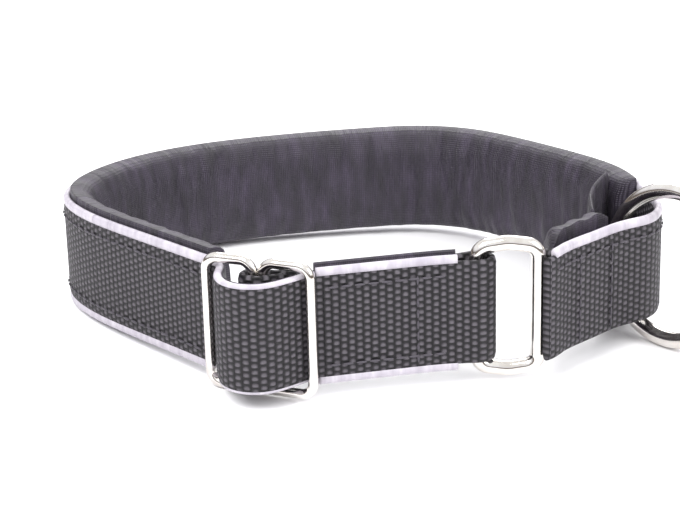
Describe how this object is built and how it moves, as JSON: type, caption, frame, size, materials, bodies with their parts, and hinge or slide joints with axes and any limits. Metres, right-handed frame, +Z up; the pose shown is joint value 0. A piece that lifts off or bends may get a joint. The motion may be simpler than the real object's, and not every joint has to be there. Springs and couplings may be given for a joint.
{
  "type": "martingale collar",
  "caption": "Padded adjustable dog collar of lined webbing with reflective piping, a wire slider, an oval connecting ring and a round leash ring.",
  "frame": {"origin": "centre of the neck opening, on the plane that the collar rests on", "axes": "+X from the slider side to the leash ring side, +Y from the front rings to the back of the strap, +Z up across the width of the strap"},
  "size_m": [0.1649, 0.1289, 0.0405],
  "materials": {
    "webbing": "coarse woven polypropylene webbing, matte",
    "lining": "satin weave lining",
    "padding": "soft foam strip inside the lining",
    "piping": "smooth reflective piping",
    "thread": "bonded sewing thread",
    "nickel": "polished nickel plate"
  },
  "bodies": {
    "strap": {"neck_webbing": "webbing", "neck_foam": "padding", "neck_lining": "lining", "neck_top_piping": "piping", "neck_bottom_piping": "piping", "neck_top_thread": "thread", "neck_bottom_thread": "thread", "end_foam": "padding", "end_lining": "lining", "end_seam_threads": "thread", "bight_lining": "lining", "front_webbing": "webbing", "front_lining": "lining", "front_top_piping": "piping", "front_bottom_piping": "piping", "front_top_thread": "thread", "front_bottom_thread": "thread", "front_seam_thread": "thread"},
    "slider": {"slider_frame": "nickel", "hump_webbing": "webbing", "hump_lining": "lining", "hump_top_piping": "piping", "hump_bottom_piping": "piping", "bar_loop": "webbing", "bar_loop_thread": "thread"},
    "oval_ring": {"oval_ring": "nickel"},
    "leash_ring": {"leash_ring": "nickel"}
  },
  "joints": [
    {"name": "leash_ring_swing", "type": "hinge", "parent": "strap", "child": "leash_ring", "pos_m": [0.06248, -0.01465, 0.01968], "axis": [0.0399, 0.0826, 0.9958], "range_deg": [-25, 20]},
    {"name": "oval_ring_rock", "type": "hinge", "parent": "strap", "child": "oval_ring", "pos_m": [0.03365, -0.04918, 0.0183], "axis": [-0.025, 0.0244, 0.9994], "range_deg": [-3, 3]},
    {"name": "slider_adjust", "type": "slide", "parent": "strap", "child": "slider", "axis": [0.9701, 0.2419, 0.0184], "range_m": [0, 0.01], "deforming": ["front_webbing", "front_lining", "front_top_piping", "front_bottom_piping", "front_top_thread", "front_bottom_thread", "front_seam_thread"]}
  ]
}
